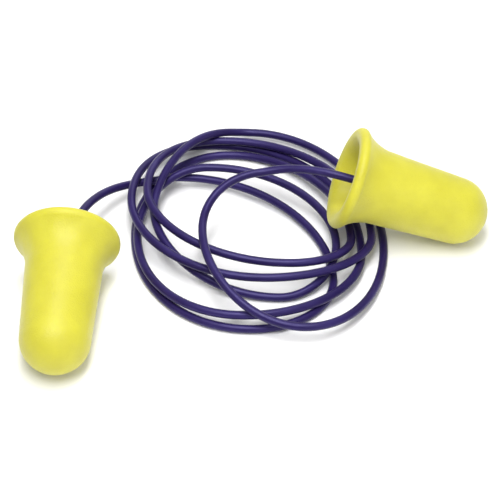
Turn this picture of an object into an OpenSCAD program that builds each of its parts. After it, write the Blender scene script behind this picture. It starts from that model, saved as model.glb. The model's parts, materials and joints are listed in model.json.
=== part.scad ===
// Pair of corded foam ear plugs, lying on a table.
// The plugs sit on two flexible leads that come out of one loose coil of cord.
// +X runs from the left plug to the right plug, +Z is up, and the table is z = 0.

/* [Foam plug] */
// Length of a plug, from the flared face to the tip
plug_len = 23.6; // [22:0.1:25]
// Diameter across the flared lip
flare_d = 16; // [15.6:0.1:16.4]
// Body diameter at the waist, just ahead of the flare
waist_d = 11.5; // [11.2:0.1:12.2]
// Diameter of the rounded tip
tip_d = 10.4; // [10:0.1:11]
// Rounding radius of the lip
lip_r = 0.9; // [0.8:0.05:1]
// Distance from the face to the waist
flare_len = 6.4; // [5.8:0.1:7]
// Depth of the hollow in the flared face
hollow_depth = 4.5; // [4:0.1:5]

/* [Cord] */
// Cord diameter
cord_d = 1.3; // [1.2:0.01:1.3]
// Depth to which the cord is bonded into the foam
bond_depth = 8; // [5:0.5:10]
// Thickness of the adhesive around the cord
bond_t = 0.3; // [0.2:0.05:0.4]
// Length of the cord that a lead link leaves free at its joint
joint_gap = 0.5; // [0.45:0.05:0.6]
// Radial clearance in a lead joint
joint_clear = 0.03; // [0.02:0.01:0.05]

/* [Resting places] */
// Centre of the left plug's lip on the table, from the coil's middle
left_x = -27.5; // [-30:0.1:-27.4]
// The same, front to back
left_y = -6.1; // [-7:0.1:-4]
// Direction in which the left plug's tip points, seen from above
left_turn = -92; // [-98:0.5:-90]
// Centre of the right plug's lip, from the coil's middle
right_x = 15.2; // [14.8:0.1:15.6]
// The same, front to back
right_y = 4.7; // [4.6:0.1:5]
// Height of the strands that the right plug's lip leans on
right_seat = 3.3; // [3.2:0.1:4.2]
// Direction in which the right plug's tip points, seen from above
right_turn = -4; // [-5:0.5:-2]

/* [Hidden] */
cord_r = cord_d / 2;
waist_r = waist_d / 2;
tip_r = tip_d / 2;
ring_r = flare_d / 2 - lip_r;          // centre circle of the lip's rounding
hole_r = cord_r + bond_t;
fine = 96;                             // segments around a turned shape

// Outline of the foam
lip_end = 48;                          // direction in which the lip's rounding ends and the flare begins
flare_handles = [1.2, 2.2];            // how far the flare keeps its first and its last direction
hollow_handles = [6, 3.3];             // how far the hollow's floor and its flared rim keep their directions
tip_start = 3;                         // the taper of the body makes the tip's arc begin at this angle
tip_steps = 16;
flare_steps = 12;
hollow_steps = 16;
overshoot = 1;                         // how far a cut reaches past the surface where it opens

// Adhesive
fit = 0.01;                            // gap around a bonded piece
bead_r = 1.45;                         // bead at the mouth of the hole
bead_h = 0.4;
bead_steps = 4;
bead_gap = 0.1;                        // between the bead and the moving cord
bead_foot = 0.12;                      // height of the bead's edge above the deepest point of the hollow
bond_end = 0.5;                        // adhesive beyond the end of the cord
end_gap = 0.1;                         // between the cord's end and the adhesive beyond it

// Leads
left_links = 8;
right_links = 6;
left_reach = [6, 13];                  // how far a lead keeps its first and its last direction
right_reach = [6, 7];

// The coil is six turns laid clockwise. Each row is where the cord's centre line
// reaches its furthest left, back, right or front: [x, y, height].
left_ends = [[-16.1, 13.6, 2.1], [-18.1, 3.6, 0.65], [-16.2, 8.4, 5.6], [-18.7, 7.5, 4.4],
             [-17.6, 2.2, 2.0], [-15.1, 5.6, 4.0], [-7.3, -1.7, 6.5]];
back_ends = [[-11.8, 14.6, 2.0], [-3.6, 21.5, 0.65], [-4.6, 23.4, 2.1], [-6.3, 23.9, 0.65],
             [-6.8, 15.0, 3.8], [-0.7, 26.1, 1.6], [1.9, 7.5, 9.6]];
right_ends = [[12.7, -7.2, 0.65], [15.6, -0.6, 3.14], [18.8, 0.2, 2.94], [17.2, -2.2, 1.7],
              [13.3, -0.8, 2.31], [20.8, 0.9, 0.65]];
front_ends = [[0.3, -17.3, 0.65], [6.1, -6.4, 3.6], [2.3, -9.3, 3.4], [-1.0, -15.9, 2.2],
              [4.5, -10.8, 0.65], [8.2, -18.8, 2.8]];
// How full each turn's four quarters are, starting from its left end: 0.55 is an ellipse,
// less is flatter and more is squarer
fullness = [[0.55, 0.55, 0.55, 0.58], [0.55, 0.50, 0.55, 0.55], [0.55, 0.55, 0.55, 0.55],
            [0.55, 0.58, 0.55, 0.58], [0.55, 0.55, 0.55, 0.55], [0.40, 0.55, 0.55, 0.55]];
rise_fullness = 0.6;
// Extra height halfway from each left end to the next back end, where a turn climbs over others
climbs = [0, 0, 0, 0, 0, 2.2];
start_heading = 12;                    // the coil's first end points this way, seen from above
end_heading = 8;                       // and its last end this way,
end_slope = 0.16;                      // climbing this much
turns = len(right_ends);
quarter_steps = 12;                    // rings in each quarter turn
cord_sides = 10;
nose_rings = 4;                        // rings that round an end of the coil

function heading(a) = [cos(a), sin(a)];
function blend(a, b, t) = a + (b - a) * t * t * (3 - 2 * t);
function unit(v) = v / norm(v);

// Point at t on a cubic curve with four control points
function cubic(p, t) = pow(1 - t, 3) * p[0] + 3 * pow(1 - t, 2) * t * p[1]
                     + 3 * (1 - t) * t * t * p[2] + pow(t, 3) * p[3];

// Points on a quarter turn from a to b, leaving and arriving along the two headings
function quarter(a, b, turn_a, turn_b, full, climb = 0) =
    let (from = [a[0], a[1]], to = [b[0], b[1]], out = heading(turn_a), in = heading(turn_b),
         p = [from, from + out * full * abs((to - from) * out), to - in * full * abs((to - from) * in), to])
    [for (i = [0:quarter_steps]) let (t = i / quarter_steps, q = cubic(p, t))
        [q[0], q[1], blend(a[2], b[2], t) + climb * pow(4 * t * (1 - t), 2)]];

function without_last(list) = [for (i = [0:len(list) - 2]) list[i]];

// Centre line of turn n, from its left end to the next one's
function turn_points(n) = let (full = fullness[n]) concat(
    without_last(quarter(left_ends[n], back_ends[n], n == 0 ? start_heading : 90, 0, full[0], climbs[n])),
    without_last(quarter(back_ends[n], right_ends[n], 0, -90, full[1])),
    without_last(quarter(right_ends[n], front_ends[n], -90, -180, full[2])),
    quarter(front_ends[n], left_ends[n + 1], 180, 90, full[3]));

rise_points = quarter(left_ends[turns], back_ends[turns], 90, end_heading, rise_fullness);

// Slope of a plug whose tip rests on the table and whose lip rests on a seat of this height
lip_to_tip = plug_len - tip_r - lip_r;
function lean(seat) = asin((seat + lip_r - tip_r) / norm([lip_to_tip, ring_r])) + atan2(ring_r, lip_to_tip);

left_lean = lean(0);
right_lean = lean(right_seat);
function toward(turn, slope) = [cos(turn) * cos(slope), sin(turn) * cos(slope), -sin(slope)];
left_axis = toward(left_turn, left_lean);
right_axis = toward(right_turn, right_lean);
left_lip = [left_x, left_y, ring_r * cos(left_lean) + lip_r];
right_lip = [right_x, right_y, right_seat + ring_r * cos(right_lean) + lip_r];

// Where the cord enters the foam, at the bottom of each hollow
left_mouth = left_lip + left_axis * (hollow_depth - lip_r);
right_mouth = right_lip + right_axis * (hollow_depth - lip_r);

// Centre line of a lead: the joint points from the coil's end to the plug's mouth
function lead_points(from, out, mouth, axis, links, reach) =
    let (p = [from, from + out * reach[0], mouth - axis * reach[1], mouth])
    [for (i = [0:links]) cubic(p, i / links)];
left_joints = lead_points(left_ends[0], -unit([cos(start_heading), sin(start_heading), 0]),
                          left_mouth, left_axis, left_links, left_reach);
right_joints = lead_points(back_ends[turns], unit([cos(end_heading), sin(end_heading), end_slope]),
                           right_mouth, right_axis, right_links, right_reach);

// Moves everything so that the origin is under the middle of the whole object
low_x = left_x - ring_r * sqrt(1 - pow(left_axis[0], 2)) - lip_r;
high_x = right_x + right_axis[0] * lip_to_tip + tip_r;
low_y = left_y + left_axis[1] * lip_to_tip - tip_r;
high_y = back_ends[turns - 1][1] + cord_r;
centring = [-(low_x + high_x) / 2, -(low_y + high_y) / 2, 0];

// A closed tube along points. A rounded end has a ball nose centred on its point; a flat end is
// a joint between two turns, which is always at a left end, where the cord runs straight back.
join_heading = [0, 1, 0];
function nose(sign) = [for (i = [1:nose_rings]) let (a = 90 * i / (nose_rings + 1)) [sign * sin(a), cos(a)]];
function rings(points, round_start, round_end) =
    let (last = len(points) - 1,
         ahead = [for (i = [0:last])
             (i == 0 && !round_start) || (i == last && !round_end) ? join_heading
             : unit(points[min(i + 1, last)] - points[max(i - 1, 0)])],
         start = round_start ? [for (i = [nose_rings - 1:-1:0]) [points[0], ahead[0], nose(-1)[i]]] : [],
         end = round_end ? [for (ring = nose(1)) [points[last], ahead[last], ring]] : [])
    concat(start, [for (i = [0:last]) [points[i], ahead[i], [0, 1]]], end);

module tube(points, round_start = false, round_end = false) {
    all_rings = rings(points, round_start, round_end);
    count = len(all_rings);
    vertices = [for (ring = all_rings)
        let (side = unit(cross(ring[1], [0, 0, 1])), up = cross(side, ring[1]))
        for (k = [0:cord_sides - 1])
            let (a = 360 * k / cord_sides)
            ring[0] + cord_r * (ring[1] * ring[2][0] + ring[2][1] * (side * cos(a) + up * sin(a)))];
    walls = [for (i = [0:count - 2]) for (k = [0:cord_sides - 1])
        let (a = i * cord_sides + k, b = i * cord_sides + (k + 1) % cord_sides)
        for (face = [[a, a + cord_sides, b + cord_sides], [a, b + cord_sides, b]]) face];
    first_cap = [for (k = [0:cord_sides - 1]) k];
    last_cap = [for (k = [cord_sides - 1:-1:0]) (count - 1) * cord_sides + k];
    polyhedron(points = vertices, faces = concat(walls, [first_cap, last_cap]));
}

module cord_colour() color([0.20, 0.15, 0.40]) translate(centring) children();
module foam_colour() color([0.92, 0.91, 0.30]) translate(centring) children();
module glue_colour() color([0.80, 0.78, 0.45]) translate(centring) children();

module coil_turn(n) cord_colour() tube(turn_points(n), round_start = n == 0);
module rise() cord_colour() tube(rise_points, round_end = true);

// Puts a shape drawn along +Z at a point, with +Z turned to a direction
module aim(point, direction)
    translate(point)
        rotate([0, acos(direction[2]), atan2(direction[1], direction[0])])
            children();

// One rigid piece of a lead, from joint k to the next: a socket at one end, a ball nose at the other
module lead_link(joints, k) {
    span = joints[k + 1] - joints[k];
    cord_colour() aim(joints[k], unit(span)) difference() {
        union() {
            translate([0, 0, joint_gap]) cylinder(h = norm(span) - joint_gap, r = cord_r, $fn = fine);
            translate([0, 0, norm(span)]) sphere(r = cord_r, $fn = fine);
        }
        sphere(r = cord_r + joint_clear, $fn = fine);
    }
}

// Half of the plug's outline as [radius, distance from the face]
lip_arc = [for (a = [-90:(lip_end + 90) / flare_steps:lip_end])
    [ring_r + lip_r * cos(a), lip_r + lip_r * sin(a)]];
flare_start = lip_arc[len(lip_arc) - 1];
flare_curve = [for (i = [1:flare_steps])
    cubic([flare_start, flare_start + flare_handles[0] * [-sin(lip_end), cos(lip_end)],
           [waist_r, flare_len - flare_handles[1]], [waist_r, flare_len]], i / flare_steps)];
tip_arc = [for (a = [tip_start:(90 - tip_start) / tip_steps:90])
    [tip_r * cos(a), plug_len - tip_r + tip_r * sin(a)]];
hollow_curve = [for (i = [0:hollow_steps - 1])
    cubic([[0, hollow_depth], [hollow_handles[0], hollow_depth],
           [ring_r - hollow_handles[1], 0], [ring_r, 0]], i / hollow_steps)];

module foam_plug(lip, axis)
    foam_colour() aim(lip - axis * lip_r, axis) difference() {
        rotate_extrude($fn = fine)
            polygon(concat(hollow_curve, lip_arc, flare_curve, tip_arc));
        translate([0, 0, hollow_depth - overshoot])
            cylinder(h = bond_depth + overshoot, r = hole_r, $fn = fine);
    }

// Adhesive: a closed sleeve around the bonded cord, and a bead that creeps out where the cord goes in
bead_curve = [for (i = [0:bead_steps]) let (t = i / bead_steps)
    [cord_r + bead_gap + (bead_r - cord_r - bead_gap) * t * t, -bead_h + (bead_h - bead_foot) * t]];
module bond(mouth, axis)
    glue_colour() aim(mouth, axis) difference() {
        rotate_extrude($fn = fine)
            polygon(concat([[0, -bead_h]], bead_curve,
                           [[hole_r - fit, -bead_foot], [hole_r - fit, bond_depth - fit],
                            [0, bond_depth - fit]]));
        translate([0, 0, -overshoot])
            cylinder(h = overshoot + bond_depth - bond_end, r = cord_r + fit, $fn = fine);
        translate([0, 0, -overshoot])
            cylinder(h = overshoot + joint_clear, r = cord_r + bead_gap, $fn = fine);
    }

// The last of the cord, bonded into the foam
module cord_end(mouth, axis)
    cord_colour() aim(mouth, axis) difference() {
        translate([0, 0, joint_gap])
            cylinder(h = bond_depth - bond_end - end_gap - joint_gap, r = cord_r, $fn = fine);
        sphere(r = cord_r + joint_clear, $fn = fine);
    }

foam_plug(left_lip, left_axis);  // plug_left
foam_plug(right_lip, right_axis);  // plug_right
bond(left_mouth, left_axis);  // glue_left
bond(right_mouth, right_axis);  // glue_right
cord_end(left_mouth, left_axis);  // cord_end_left
cord_end(right_mouth, right_axis);  // cord_end_right
rise();  // cord_rise
for (i = [1:turns])
    coil_turn(i - 1);
for (i = [1:left_links])
    lead_link(left_joints, i - 1);
for (i = [1:right_links])
    lead_link(right_joints, i - 1);
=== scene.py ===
"""Looks for the corded foam ear plugs: a smooth cord, moulded foam plugs, adhesive beads and the stage."""

import json
import math

import bpy
import numpy as np
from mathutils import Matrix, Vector

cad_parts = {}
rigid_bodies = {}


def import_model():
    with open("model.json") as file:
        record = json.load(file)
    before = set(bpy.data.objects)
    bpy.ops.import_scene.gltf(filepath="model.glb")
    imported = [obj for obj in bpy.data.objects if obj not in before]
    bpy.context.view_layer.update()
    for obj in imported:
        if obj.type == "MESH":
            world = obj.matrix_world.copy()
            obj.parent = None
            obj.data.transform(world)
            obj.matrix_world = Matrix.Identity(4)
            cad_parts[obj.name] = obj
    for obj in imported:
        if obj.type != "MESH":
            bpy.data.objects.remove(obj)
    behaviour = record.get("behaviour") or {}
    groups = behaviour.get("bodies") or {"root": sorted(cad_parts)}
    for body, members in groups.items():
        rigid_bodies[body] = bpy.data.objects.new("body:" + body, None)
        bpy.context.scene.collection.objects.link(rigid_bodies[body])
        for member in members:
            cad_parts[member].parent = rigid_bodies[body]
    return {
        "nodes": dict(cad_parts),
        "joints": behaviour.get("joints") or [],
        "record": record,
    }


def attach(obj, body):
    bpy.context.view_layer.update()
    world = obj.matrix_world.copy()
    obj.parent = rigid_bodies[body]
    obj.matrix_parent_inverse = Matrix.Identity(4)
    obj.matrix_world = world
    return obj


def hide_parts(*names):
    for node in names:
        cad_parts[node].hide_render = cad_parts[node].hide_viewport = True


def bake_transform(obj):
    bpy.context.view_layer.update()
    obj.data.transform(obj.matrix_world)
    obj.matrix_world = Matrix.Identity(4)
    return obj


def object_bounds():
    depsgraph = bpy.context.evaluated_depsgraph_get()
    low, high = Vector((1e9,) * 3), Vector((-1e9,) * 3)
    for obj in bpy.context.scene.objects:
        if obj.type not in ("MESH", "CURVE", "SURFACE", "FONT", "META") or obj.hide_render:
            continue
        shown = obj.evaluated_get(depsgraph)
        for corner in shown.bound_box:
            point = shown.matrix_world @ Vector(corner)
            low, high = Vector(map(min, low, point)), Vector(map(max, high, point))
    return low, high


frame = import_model()
cad_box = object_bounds()

MM = 0.001

# Cord
CORD_R = 0.65 * MM
RING_STEP = 0.4 * MM              # distance between the cord's rings
CORD_SIDES = 28
CAD_SIDES = 10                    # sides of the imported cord's tube
NOSE_RINGS = 4                    # rings in each of its two rounded ends, which lie inside the leads
BOND_DEPTH = 7.4 * MM             # length of cord inside the foam
SPLINE_STEPS = 24                 # points between two given ones, before the line is evened out
SWELL, OVAL, MAX_SWELL = 0.012, 0.010, 0.015      # unevenness of the cord's thickness

# Plug, as distances from the flared face and radii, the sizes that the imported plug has
PLUG_LEN = 23.6 * MM
LIP_R = 0.9 * MM                  # rounding of the lip
RING_R = 7.1 * MM                 # centre circle of the lip's rounding
LIP_END = 48                      # direction in which the lip's rounding ends, degrees
WAIST_R = 5.75 * MM
FLARE_LEN = 6.4 * MM
FLARE_HANDLES = (1.2 * MM, 2.2 * MM)
TIP_R = 5.2 * MM
TIP_START = 3                     # direction in which the tip's rounding begins, degrees
HOLLOW_DEPTH = 4.5 * MM
HOLLOW_HANDLES = (6 * MM, 3.3 * MM)
HOLE_R = CORD_R + 0.01 * MM
HOLE_EDGE = 0.15 * MM             # rounding of the hole's edge
PLUG_SIDES = 144
CREASE_DEPTH = 0.030              # soft creases in the flare, in mm, as are the next two
CREASE_PLACE = 3.4                # from the flared face
CREASE_SPREAD = 1.5

# Adhesive bead
BEAD_R = 1.45 * MM
BEAD_H = 0.5 * MM
BEAD_FOOT = 0.12 * MM             # the bead's edge dips this far below the mouth of the hole
BEAD_SIDES = 72

# Camera, with distances as shares of the object's length
CAMERA_ELEVATION = 45
CAMERA_DISTANCE = 3.58
CAMERA_TARGET = (-0.0101, 0.0126)
CAMERA_LENS = 119.4


# ---------------------------------------------------------------- small helpers

def unit(v):
    return v / np.linalg.norm(v)


def smoothstep(low, high, x):
    t = np.clip((x - low) / (high - low), 0, 1)
    return t * t * (3 - 2 * t)


def cubic(p, t):
    """Points at t (an array) on a cubic curve with four control points."""
    t = np.asarray(t, float)[:, None]
    p = np.asarray(p, float)
    return (1 - t) ** 3 * p[0] + 3 * (1 - t) ** 2 * t * p[1] + 3 * (1 - t) * t * t * p[2] + t ** 3 * p[3]


def arc(centre, radius, start, stop, count):
    """Points on an arc of the plug's outline, angles in degrees, as [radius, distance from the face]."""
    a = np.radians(np.linspace(start, stop, count))
    return np.stack([centre[0] + radius * np.cos(a), centre[1] + radius * np.sin(a)], 1)


def spline(points, spacing):
    """An evenly spaced, smooth line through points: a centripetal Catmull-Rom curve, resampled."""
    p = np.vstack([2 * points[0] - points[1], points, 2 * points[-1] - points[-2]])
    fine = []
    for i in range(1, len(p) - 2):
        a, b, c, d = p[i - 1:i + 3]
        knots = np.cumsum([0] + [math.sqrt(np.linalg.norm(v)) for v in (b - a, c - b, d - c)])
        t = np.linspace(knots[1], knots[2], SPLINE_STEPS, endpoint=False)[:, None]
        t0, t1, t2, t3 = knots
        ab = a + (b - a) * (t - t0) / (t1 - t0)
        bc = b + (c - b) * (t - t1) / (t2 - t1)
        cd = c + (d - c) * (t - t2) / (t3 - t2)
        abc = ab + (bc - ab) * (t - t0) / (t2 - t0)
        bcd = bc + (cd - bc) * (t - t1) / (t3 - t1)
        fine.append(abc + (bcd - abc) * (t - t1) / (t2 - t1))
    fine = np.vstack(fine + [points[-1:]])
    along = np.concatenate([[0], np.cumsum(np.linalg.norm(np.diff(fine, axis=0), axis=1))])
    even = np.linspace(0, along[-1], int(along[-1] / spacing) + 1)
    return np.stack([np.interp(even, along, fine[:, k]) for k in range(3)], 1)


def add_mesh(name, vertices, faces, material):
    mesh = bpy.data.meshes.new(name)
    mesh.from_pydata([tuple(v) for v in vertices], [], faces)
    mesh.validate()
    mesh.update()
    for polygon in mesh.polygons:
        polygon.use_smooth = True
    piece = bpy.data.objects.new(name, mesh)
    bpy.context.scene.collection.objects.link(piece)
    mesh.materials.append(material)
    return piece


def store_vector(piece, name, values):
    """Keeps a vector at each vertex, for the piece's material."""
    attribute = piece.data.attributes.new(name, "FLOAT_VECTOR", "POINT")
    attribute.data.foreach_set("vector", np.asarray(values, np.float32).ravel())


# ---------------------------------------------------------------- where things are, from the frame

joints = {j["child"]: j for j in frame["joints"]}
bodies = frame["record"]["behaviour"]["bodies"]


def joint_point(child):
    return np.array(joints[child]["pos_m"], float)


def plug_axis(side):
    return unit(np.array(joints[f"plug_{side}"]["axis"], float))


def lead_chain(side):
    """The bodies of one lead, from the coil to the plug."""
    chain = [f"plug_{side}"]
    while chain[0] != "coil":
        chain.insert(0, joints[chain[0]]["parent"])
    return chain


def vertices_of(node):
    return np.array([v.co for v in frame["nodes"][node].data.vertices], float)


def link_end(node, start):
    """Centre of a lead link's ball nose: the point furthest from its start, less the nose's radius."""
    away = vertices_of(node) - start
    reach = np.linalg.norm(away, axis=1)
    k = int(np.argmax(reach))
    return start + away[k] * (1 - CORD_R / reach[k])


def lead_points(side):
    """Points on a lead's centre line, from the coil's end to the plug's mouth.

    The second list gives the places of the lead's joints among them."""
    points, places = [], []
    for body in lead_chain(side)[1:]:
        places.append(len(points))
        points.append(joint_point(body))
        if not body.startswith("plug"):
            for node in bodies[body][:-1]:
                points.append(link_end(node, points[-1]))
    return np.array(points), places


def cad_rings(nodes, beside):
    """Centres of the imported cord's rings, walked from the end of the first node that lies by a point.

    The tube's walls only join neighbouring rings, so each ring is the unvisited neighbours
    of the one before."""
    index, vertices, links = {}, [], {}
    for node in nodes:
        mesh = frame["nodes"][node].data
        own = []
        for v in mesh.vertices:
            key = tuple(round(c / MM, 2) for c in v.co)
            if key not in index:
                index[key] = len(vertices)
                vertices.append(np.array(v.co, float))
                links[index[key]] = set()
            own.append(index[key])
        for edge in mesh.edges:
            a, b = (own[i] for i in edge.vertices)
            if a != b:
                links[a].add(b)
                links[b].add(a)
        if node == nodes[0]:
            ring = set(np.argsort(np.linalg.norm(np.array(vertices) - beside, axis=1))[:CAD_SIDES].tolist())
    vertices = np.array(vertices)
    seen, centres = set(ring), []
    while ring:
        centres.append(vertices[sorted(ring)].mean(0))
        ring = set().union(*(links[v] for v in ring)) - seen
        seen |= ring
    return np.array(centres)


# ---------------------------------------------------------------- materials

def new_material(name):
    material = bpy.data.materials.new(name)
    material.use_nodes = True
    nodes, links = material.node_tree.nodes, material.node_tree.links
    return material, nodes, links, nodes["Principled BSDF"]


def add_node(nodes, kind, **values):
    node = nodes.new(kind)
    for key, value in values.items():
        if hasattr(node, key):
            setattr(node, key, value)
        else:
            node.inputs[key.replace("_", " ")].default_value = value
    return node


def ramp(nodes, stops):
    """A colour ramp from (position, colour) stops."""
    node = nodes.new("ShaderNodeValToRGB")
    elements = node.color_ramp.elements
    while len(elements) < len(stops):
        elements.new(0.5)
    for element, (position, colour) in zip(elements, stops):
        element.position = position
        element.color = (*colour, 1)
    return node


def noise(nodes, links, vector, scale, detail=4.0, roughness=0.55):
    node = add_node(nodes, "ShaderNodeTexNoise", Scale=scale, Detail=detail, Roughness=roughness)
    links.new(vector, node.inputs["Vector"])
    return node.outputs["Fac"]


def bump(nodes, links, height, distance, strength, normal=None):
    node = add_node(nodes, "ShaderNodeBump", Strength=strength, Distance=distance)
    links.new(height, node.inputs["Height"])
    if normal is not None:
        links.new(normal, node.inputs["Normal"])
    return node.outputs["Normal"]


def scaled(nodes, links, vector, factors):
    node = nodes.new("ShaderNodeMapping")
    node.inputs["Scale"].default_value = factors
    links.new(vector, node.inputs["Vector"])
    return node.outputs["Vector"]


def mix_colour(nodes, links, factor, first, second, mode="MIX"):
    node = nodes.new("ShaderNodeMix")
    node.data_type = "RGBA"
    node.blend_type = mode
    for socket, value in (("Factor", factor), ("A", first), ("B", second)):
        inlet = [i for i in node.inputs if i.name == socket and i.type in ("RGBA", "VALUE")
                 and (i.type == "RGBA") == (socket != "Factor")][0]
        if isinstance(value, (int, float)):
            inlet.default_value = value
        elif isinstance(value, tuple):
            inlet.default_value = (*value, 1)
        else:
            links.new(value, inlet)
    return [o for o in node.outputs if o.type == "RGBA"][0]


def foam_material():
    """Slow-recovery foam: soft satin skin with closed pores, slightly mottled, light passing through."""
    material, nodes, links, shader = new_material("soft_yellow_foam")
    place = nodes.new("ShaderNodeTexCoord").outputs["Object"]
    mottle = noise(nodes, links, place, 260, 5, 0.6)
    clouds = noise(nodes, links, place, 95, 3, 0.5)
    tone = ramp(nodes, [(0.30, (0.550, 0.510, 0.028)), (0.52, (0.588, 0.550, 0.036)),
                        (0.72, (0.616, 0.580, 0.046))])
    links.new(clouds, tone.inputs["Fac"])
    flecks = ramp(nodes, [(0.35, (0.90, 0.89, 0.84)), (0.65, (1.0, 1.0, 1.0))])
    links.new(mottle, flecks.inputs["Fac"])
    colour = mix_colour(nodes, links, 0.8, tone.outputs["Color"], flecks.outputs["Color"], "MULTIPLY")
    links.new(colour, shader.inputs["Base Color"])
    links.new(colour, shader.inputs["Subsurface Radius"])
    shader.inputs["Subsurface Weight"].default_value = 0.35
    shader.inputs["Subsurface Scale"].default_value = 1.6 * MM
    rough = add_node(nodes, "ShaderNodeMapRange")
    links.new(mottle, rough.inputs["Value"])
    rough.inputs["To Min"].default_value = 0.44
    rough.inputs["To Max"].default_value = 0.58
    links.new(rough.outputs["Result"], shader.inputs["Roughness"])
    shader.inputs["Specular IOR Level"].default_value = 0.50
    shader.inputs["Sheen Weight"].default_value = 0.16
    shader.inputs["Sheen Roughness"].default_value = 0.45
    cells = add_node(nodes, "ShaderNodeTexVoronoi", Scale=4200.0)
    links.new(place, cells.inputs["Vector"])
    pores = add_node(nodes, "ShaderNodeTexVoronoi", Scale=1500.0)
    links.new(place, pores.inputs["Vector"])
    pits = ramp(nodes, [(0.0, (0, 0, 0)), (0.16, (1, 1, 1))])
    links.new(pores.outputs["Distance"], pits.inputs["Fac"])
    normal = bump(nodes, links, noise(nodes, links, place, 420, 3, 0.5), 0.12 * MM, 0.40)
    normal = bump(nodes, links, cells.outputs["Distance"], 0.06 * MM, 0.50, normal)
    normal = bump(nodes, links, pits.outputs["Color"], 0.06 * MM, 0.60, normal)
    links.new(normal, shader.inputs["Normal"])
    return material


def cord_material():
    """Extruded vinyl: dark violet-blue, semi-gloss, with faint lines along its length."""
    material, nodes, links, shader = new_material("violet_vinyl_cord")
    around = add_node(nodes, "ShaderNodeAttribute", attribute_name="cord_place").outputs["Vector"]
    lines = noise(nodes, links, scaled(nodes, links, around, (5.0, 5.0, 0.25)), 3.0, 4, 0.6)
    blotch = noise(nodes, links, scaled(nodes, links, around, (0.5, 0.5, 0.22)), 1.0, 3, 0.5)
    tone = ramp(nodes, [(0.30, (0.014, 0.007, 0.060)), (0.55, (0.021, 0.012, 0.082)),
                        (0.75, (0.029, 0.019, 0.106))])
    links.new(blotch, tone.inputs["Fac"])
    streaks = ramp(nodes, [(0.40, (0.80, 0.80, 0.84)), (0.60, (1.0, 1.0, 1.0))])
    links.new(lines, streaks.inputs["Fac"])
    colour = mix_colour(nodes, links, 0.7, tone.outputs["Color"], streaks.outputs["Color"], "MULTIPLY")
    links.new(colour, shader.inputs["Base Color"])
    rough = add_node(nodes, "ShaderNodeMapRange")
    links.new(lines, rough.inputs["Value"])
    rough.inputs["To Min"].default_value = 0.28
    rough.inputs["To Max"].default_value = 0.42
    links.new(rough.outputs["Result"], shader.inputs["Roughness"])
    shader.inputs["Specular IOR Level"].default_value = 0.40
    shader.inputs["Specular Tint"].default_value = (0.55, 0.52, 1.0, 1)
    normal = bump(nodes, links, lines, 0.03 * MM, 0.35)
    waves = noise(nodes, links, scaled(nodes, links, around, (1.0, 1.0, 1.4)), 1.4, 3, 0.5)
    normal = bump(nodes, links, waves, 0.05 * MM, 0.25, normal)
    links.new(normal, shader.inputs["Normal"])
    return material


def adhesive_material():
    """Set adhesive: clear, glossy and a little yellow."""
    material, nodes, links, shader = new_material("clear_adhesive")
    place = nodes.new("ShaderNodeTexCoord").outputs["Object"]
    clouds = noise(nodes, links, place, 900, 3, 0.5)
    tone = ramp(nodes, [(0.3, (0.60, 0.54, 0.16)), (0.7, (0.78, 0.72, 0.28))])
    links.new(clouds, tone.inputs["Fac"])
    links.new(tone.outputs["Color"], shader.inputs["Base Color"])
    shader.inputs["Roughness"].default_value = 0.16
    shader.inputs["Transmission Weight"].default_value = 0.35
    shader.inputs["IOR"].default_value = 1.47
    links.new(bump(nodes, links, clouds, 0.05 * MM, 0.3), shader.inputs["Normal"])
    return material


# ---------------------------------------------------------------- cord

def cord_frames(line):
    """Two directions across a line at each of its points, that turn as little as possible along it."""
    ahead = np.gradient(line, axis=0)
    ahead /= np.linalg.norm(ahead, axis=1)[:, None]
    side = np.zeros_like(line)
    side[0] = unit(np.cross(ahead[0], (0, 0, 1)))
    for i in range(1, len(line)):
        side[i] = unit(side[i - 1] - ahead[i] * (side[i - 1] @ ahead[i]))
    return side, np.cross(side, ahead)


def cord_rings(line):
    """Vertices of the whole cord, ring by ring, and each vertex's place for its material."""
    side, up = cord_frames(line)
    angle = np.linspace(0, 2 * math.pi, CORD_SIDES, endpoint=False)
    along = np.arange(len(line)) * RING_STEP / MM
    swell = 1 + SWELL * np.sin(along * 0.55) * np.sin(along * 0.173 + 1.0)
    oval = OVAL * np.sin(along * 0.11 + 0.6)
    radius = CORD_R * (swell[:, None] + oval[:, None] * np.cos(2 * angle)[None, :])
    radius = np.minimum(radius, CORD_R * (1 + MAX_SWELL))
    out = side[:, None] * np.cos(angle)[None, :, None] + up[:, None] * np.sin(angle)[None, :, None]
    place = np.zeros(out.shape)
    place[..., 0] = np.cos(angle)[None, :]
    place[..., 1] = np.sin(angle)[None, :]
    place[..., 2] = along[:, None]
    return line[:, None] + out * radius[..., None], place


def cord_piece(name, rings, places, first, last, material):
    """The stretch of cord from ring first to ring last, closed at both ends.

    The end faces have their own copies of the end rings, so that they don't bend the walls' shading."""
    count = last - first + 1
    order = np.r_[first:last + 1, first, last]
    vertices = rings[order].reshape(-1, 3)
    faces = []
    for i in range(count - 1):
        for k in range(CORD_SIDES):
            a, b = i * CORD_SIDES + k, i * CORD_SIDES + (k + 1) % CORD_SIDES
            faces.append((a, a + CORD_SIDES, b + CORD_SIDES, b))
    faces.append(tuple(count * CORD_SIDES + k for k in range(CORD_SIDES)))
    faces.append(tuple((count + 1) * CORD_SIDES + k for k in reversed(range(CORD_SIDES))))
    piece = add_mesh(name, vertices, faces, material)
    store_vector(piece, "cord_place", places[order].reshape(-1, 3))
    return piece


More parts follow.
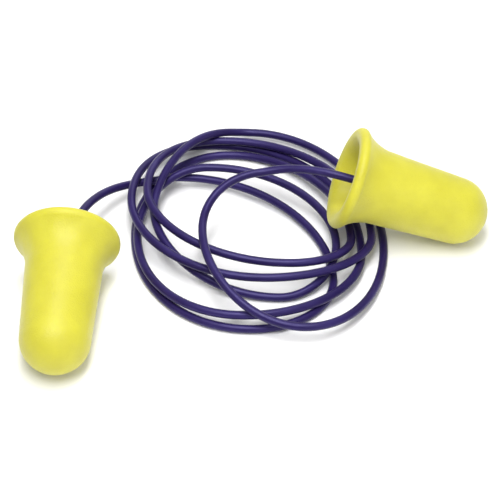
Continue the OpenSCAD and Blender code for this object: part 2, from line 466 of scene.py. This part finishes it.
def build_cord(material):
    """One smooth cord from bond to bond, divided into stretches that each hold one of the leads' joints,
    and the coil.
    """
    (left, left_joints), (right, right_joints) = lead_points("left"), lead_points("right")
    coil = cad_rings(bodies["coil"], left[1])[NOSE_RINGS + 1:-NOSE_RINGS - 1]
    left_end = left[-1] + plug_axis("left") * BOND_DEPTH
    right_end = right[-1] + plug_axis("right") * BOND_DEPTH
    line = spline(np.vstack([left_end, left[::-1], coil, right, right_end]), RING_STEP)
    rings, places = cord_rings(line)

    def nearest(point):
        return int(np.argmin(np.linalg.norm(line - point, axis=1)))

    coil_ends = []
    leads = (("left", left, left_joints, 0), ("right", right, right_joints, len(line) - 1))
    for side, points, at, end in leads:
        stops = [nearest(points[k]) for k in at]
        gaps = [abs(b - a) for a, b in zip(stops, stops[1:])]
        away = -1 if side == "left" else 1            # ring numbers rise towards the right plug
        cuts = [stops[0] - away * gaps[0] // 2] + [(a + b) // 2 for a, b in zip(stops, stops[1:])] + [end]
        coil_ends.append(cuts[0])
        chain = lead_chain(side)
        for k, here in enumerate(stops):
            first, last = sorted((cuts[k], cuts[k + 1]))
            piece = cord_piece(f"cord_{side}_bend_{k + 1}", rings, places, first, last, material)
            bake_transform(piece)
            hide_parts(*(bodies[chain[k + 1]] if k < len(stops) - 1 else [f"cord_end_{side}"]))
    loops = cord_piece("cord_coil", rings, places, *coil_ends, material)
    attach(loops, "coil")
    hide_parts(*bodies["coil"])


# ---------------------------------------------------------------- foam plugs and adhesive

def plug_outline():
    """Half the plug's outline, from the bottom of the cord hole round the lip to the tip."""
    depths = (BOND_DEPTH, BOND_DEPTH * 0.5, 0.5 * MM, HOLE_EDGE)
    hole = np.array([[HOLE_R, HOLLOW_DEPTH + depth] for depth in depths])
    dish = cubic([[HOLE_R + HOLE_EDGE, HOLLOW_DEPTH], [HOLLOW_HANDLES[0], HOLLOW_DEPTH],
                  [RING_R - HOLLOW_HANDLES[1], 0], [RING_R, 0]], np.linspace(0, 1, 44))
    lip = arc((RING_R, LIP_R), LIP_R, -90, LIP_END, 22)[1:]
    turn = math.radians(LIP_END)
    leave = FLARE_HANDLES[0] * np.array([-math.sin(turn), math.cos(turn)])
    flare = cubic([lip[-1], lip[-1] + leave, [WAIST_R, FLARE_LEN - FLARE_HANDLES[1]], [WAIST_R, FLARE_LEN]],
                  np.linspace(0, 1, 28))[1:]
    tip = arc((0, PLUG_LEN - TIP_R), TIP_R, TIP_START, 90, 34)[:-1]
    stem = np.linspace(flare[-1], tip[0], 26)[1:-1]
    return np.vstack([hole, dish, lip, flare, stem, tip])


def turned(outline, start, stop, sides, shape, origin, axis):
    """A turned solid, closed on its axis at start and stop, with shape(radius, height, angle) on top."""
    across = unit(np.cross(axis, (0, 0, 1)))
    up = np.cross(across, axis)
    angle = np.linspace(0, 2 * math.pi, sides, endpoint=False)
    radius, height = shape(outline[:, :1], outline[:, 1:], angle[None, :])
    spoke = across * np.cos(angle)[:, None] + up * np.sin(angle)[:, None]
    body = origin + axis * height[..., None] + spoke[None] * radius[..., None]
    vertices = np.vstack([body.reshape(-1, 3), [origin + axis * start], [origin + axis * stop]])
    rows = len(outline)
    faces = []
    for i in range(rows - 1):
        for k in range(sides):
            a, b = i * sides + k, i * sides + (k + 1) % sides
            faces.append((a, b, b + sides, a + sides))
    for k in range(sides):
        faces.append((rows * sides, (k + 1) % sides, k))
        faces.append((rows * sides + 1, (rows - 1) * sides + k, (rows - 1) * sides + (k + 1) % sides))
    return vertices, faces


def build_plug(side, phase, material):
    """A moulded foam plug: very slightly uneven, with soft creases where the flare meets the body."""
    axis = plug_axis(side)
    face = joint_point(f"plug_{side}") - axis * HOLLOW_DEPTH

    def shape(radius, height, angle):
        height = height + 0 * angle
        outside = smoothstep(RING_R * 0.70, RING_R * 0.78, radius + height * 0.15)
        uneven = 0.030 * np.sin(2 * angle + phase)
        uneven = uneven + 0.018 * np.sin(3 * angle - 1.7 * phase + height / MM * 0.21)
        uneven = uneven + 0.012 * np.sin(5 * angle + height / MM * 0.4 + phase)
        band = np.exp(-((height / MM - CREASE_PLACE) / CREASE_SPREAD) ** 2)
        creases = -CREASE_DEPTH * band * np.sin(11 * angle + 2 * np.sin(angle + phase))
        full = smoothstep(0, 2.0 * MM, PLUG_LEN - height)
        return radius + (uneven + creases) * MM * outside * full, height

    bottom = HOLLOW_DEPTH + BOND_DEPTH
    vertices, faces = turned(plug_outline(), bottom, PLUG_LEN, PLUG_SIDES, shape, face, axis)
    piece = add_mesh(f"foam_{side}", vertices, faces, material)
    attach(piece, f"plug_{side}")
    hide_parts(f"plug_{side}")


def build_bead(side, phase, material):
    """A bead of set adhesive that creeps up the cord and out over the foam at the mouth of the hole."""
    axis = plug_axis(side)
    mouth = joint_point(f"plug_{side}")
    rise = np.linspace(0, 1, 14)
    outer = np.stack([CORD_R * 0.98 + (BEAD_R - CORD_R) * (1 - rise) ** 1.7, -BEAD_H * rise], 1)
    rim = np.array([[BEAD_R, BEAD_FOOT]])
    outline = np.vstack([rim, outer])

    def shape(radius, height, angle):
        spread = 1 + 0.10 * np.sin(2 * angle + phase) + 0.06 * np.sin(5 * angle - phase)
        grow = (radius - CORD_R * 0.98) * spread
        return CORD_R * 0.98 + grow, height + 0 * angle

    vertices, faces = turned(outline, BEAD_FOOT, -BEAD_H, BEAD_SIDES, shape, mouth, axis)
    piece = add_mesh(f"adhesive_bead_{side}", vertices, faces, material)
    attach(piece, f"plug_{side}")
    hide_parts(f"glue_{side}")


# ---------------------------------------------------------------- stage

def build_stage():
    """A pale floor, soft lights and the camera, placed from the object's box."""
    low, high = (np.array(corner) for corner in cad_box)
    size = float(np.max(high - low))
    centre = (low + high) / 2

    floor_mesh = bpy.data.meshes.new("floor")
    reach = 30 * size
    floor_mesh.from_pydata([(-reach, -reach, 0), (reach, -reach, 0), (reach, reach, 0), (-reach, reach, 0)],
                           [], [(0, 1, 2, 3)])
    floor = bpy.data.objects.new("floor", floor_mesh)
    floor.location.z = low[2] - 0.02 * MM
    bpy.context.scene.collection.objects.link(floor)
    material, _, _, shader = new_material("pale_floor")
    shader.inputs["Base Color"].default_value = (0.93, 0.93, 0.93, 1)
    shader.inputs["Roughness"].default_value = 0.75
    shader.inputs["Specular IOR Level"].default_value = 0.15
    floor_mesh.materials.append(material)

    world = bpy.data.worlds.new("studio")
    world.use_nodes = True
    world.node_tree.nodes["Background"].inputs["Color"].default_value = (1, 1, 1, 1)
    world.node_tree.nodes["Background"].inputs["Strength"].default_value = 0.48
    bpy.context.scene.world = world

    for name, place, width, length, power in (
            ("key", (-0.15, -0.6, 3.3), 1.0, 3.2, 0.66),
            ("fill", (1.6, -2.8, 2.0), 2.6, 2.6, 0.12),
            ("back", (0.6, 3.2, 2.2), 2.4, 2.4, 0.13)):
        data = bpy.data.lights.new(name, "AREA")
        data.shape = "RECTANGLE"
        data.size = width * size
        data.size_y = length * size
        data.energy = power * (size / 0.07) ** 2
        lamp = bpy.data.objects.new(name, data)
        lamp.location = centre + np.array(place) * size
        lamp.rotation_euler = (Vector(centre) - lamp.location).to_track_quat("-Z", "Y").to_euler()
        bpy.context.scene.collection.objects.link(lamp)

    elevation = math.radians(CAMERA_ELEVATION)
    distance = CAMERA_DISTANCE * size
    target = Vector((centre[0] + CAMERA_TARGET[0] * size, centre[1] + CAMERA_TARGET[1] * size, low[2]))
    data = bpy.data.cameras.new("camera")
    data.lens = CAMERA_LENS
    data.sensor_width = 36
    data.clip_start = 0.01
    camera = bpy.data.objects.new("camera", data)
    camera.location = target + Vector((0, -math.cos(elevation), math.sin(elevation))) * distance
    camera.rotation_euler = (target - camera.location).to_track_quat("-Z", "Y").to_euler()
    bpy.context.scene.collection.objects.link(camera)
    bpy.context.scene.camera = camera
    bpy.context.scene.view_settings.view_transform = "Standard"


foam, vinyl, adhesive = foam_material(), cord_material(), adhesive_material()
build_cord(vinyl)
build_plug("left", 0.4, foam)
build_plug("right", 2.1, foam)
build_bead("left", 0.3, adhesive)
build_bead("right", 1.9, adhesive)
build_stage()
